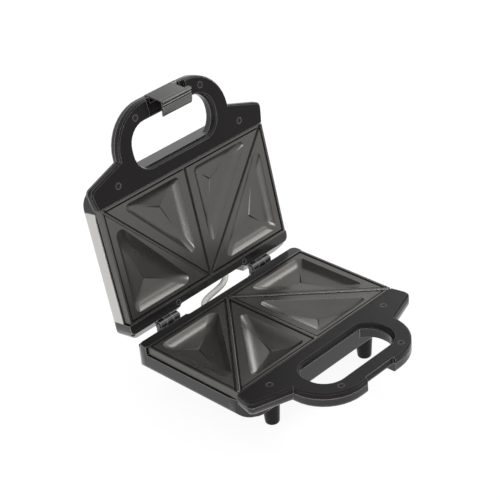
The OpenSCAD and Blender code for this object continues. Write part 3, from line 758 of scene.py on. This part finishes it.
def paleFloor(settings):
    material, nodes, links, shader = newMaterial("paleFloor")
    shader.inputs["Base Color"].default_value = (*[settings["colour"]] * 3, 1)
    shader.inputs["Roughness"].default_value = settings["rough"]
    shader.inputs["Specular IOR Level"].default_value = settings["specular"]
    rays = nodes.new("ShaderNodeLightPath").outputs
    white = nodes.new("ShaderNodeEmission")
    white.inputs["Color"].default_value = (1, 1, 1, 1)
    white.inputs["Strength"].default_value = settings["white"]
    # metal and glass show the white floor in full
    mirrored = mathNode(nodes, links, "MAXIMUM", rays["Is Glossy Ray"],
                        rays["Is Transmission Ray"])
    share = mathNode(nodes, links, "MULTIPLY_ADD", rays["Is Camera Ray"],
                     settings["cameraShare"], mirrored)
    mix = nodes.new("ShaderNodeMixShader")
    links.new(share, mix.inputs["Fac"])
    links.new(shader.outputs["BSDF"], mix.inputs[1])
    links.new(white.outputs["Emission"], mix.inputs[2])
    links.new(mix.outputs["Shader"], nodes["Material Output"].inputs["Surface"])
    return material


floorMesh = bmesh.new()
bmesh.ops.create_grid(floorMesh, x_segments=1, y_segments=1, size=floorSettings["halfSide"])
floor = scratchObject(floorMesh, "floor")
floor.data.materials.append(paleFloor(floorSettings))

worldSettings = {
    "mattShare": 0.6,                    # matt surfaces are lit by this much of the white
    "allRound": 0.03,                    # and every other ray gets this much
}


def whiteWorld(settings):
    world = bpy.data.worlds.new("studio")
    world.use_nodes = True
    nodes, links = world.node_tree.nodes, world.node_tree.links
    backdrop = nodes["Background"]
    backdrop.inputs["Color"].default_value = (1, 1, 1, 1)
    rays = nodes.new("ShaderNodeLightPath").outputs
    seen = mathNode(nodes, links, "MULTIPLY", rays["Is Diffuse Ray"], settings["mattShare"])
    for ray in ("Is Camera Ray", "Is Glossy Ray", "Is Transmission Ray"):
        seen = mathNode(nodes, links, "MAXIMUM", seen, rays[ray])
    links.new(mapTo(nodes, links, seen, settings["allRound"], 1.0), backdrop.inputs["Strength"])
    return world


bpy.context.scene.world = whiteWorld(worldSettings)

lampAim = Vector((0, 0.024, 0.12))
lampSettings = [
    # name, place, size, watts
    ("keyLamp", (-0.75, -1.1, 0.16), 0.6, 12),
    ("frontRightLamp", (0.85, -0.95, 0.75), 0.6, 1.8),
    ("leftLamp", (-1.1, -0.1, 0.3), 0.7, 5),
    ("topLamp", (0.75, -0.15, 1.1), 0.6, 5),
    ("rightLamp", (1.35, 0.58, 0.4), 0.65, 5),
]
for name, place, size, watts in lampSettings:
    light = bpy.data.lights.new(name, "AREA")
    light.size = size
    light.energy = watts
    lamp = bpy.data.objects.new(name, light)
    lamp.location = place
    lamp.rotation_euler = (lampAim - Vector(place)).to_track_quat("-Z", "Y").to_euler()
    bpy.context.scene.collection.objects.link(lamp)

# Angles are in degrees; aim is in metres from the front edge of the cooking face
cameraSettings = {
    "azimuth": -43.49, "elevation": 31.198, "roll": -5.474, "distance": 1.58365,
    "aim": (0, 0.08164, 0.073606), "lens": 116.03, "filmWidth": 36,
    "shiftX": -0.0021, "shiftY": -0.0034, "farthest": 20,
}


def makeCamera(settings):
    azimuth, elevation, roll = (math.radians(settings[key])
                                for key in ("azimuth", "elevation", "roll"))
    back = Vector((math.sin(azimuth) * math.cos(elevation),
                   -math.cos(azimuth) * math.cos(elevation), math.sin(elevation)))
    right = Vector((math.cos(azimuth), math.sin(azimuth), 0))
    up = back.cross(right)
    turned = Matrix((right * math.cos(roll) + up * math.sin(roll),
                     up * math.cos(roll) - right * math.sin(roll), back)).transposed().to_4x4()
    lens = bpy.data.cameras.new("camera")
    lens.lens = settings["lens"]
    lens.sensor_width = settings["filmWidth"]
    lens.shift_x = settings["shiftX"]
    lens.shift_y = settings["shiftY"]
    lens.clip_end = settings["farthest"]
    camera = bpy.data.objects.new("camera", lens)
    camera.matrix_world = Matrix.Translation(
        Vector(settings["aim"]) + faceFront + back * settings["distance"]) @ turned
    bpy.context.scene.collection.objects.link(camera)
    return camera


bpy.context.scene.camera = makeCamera(cameraSettings)
bpy.context.scene.view_settings.view_transform = "Standard"
print("stage set")
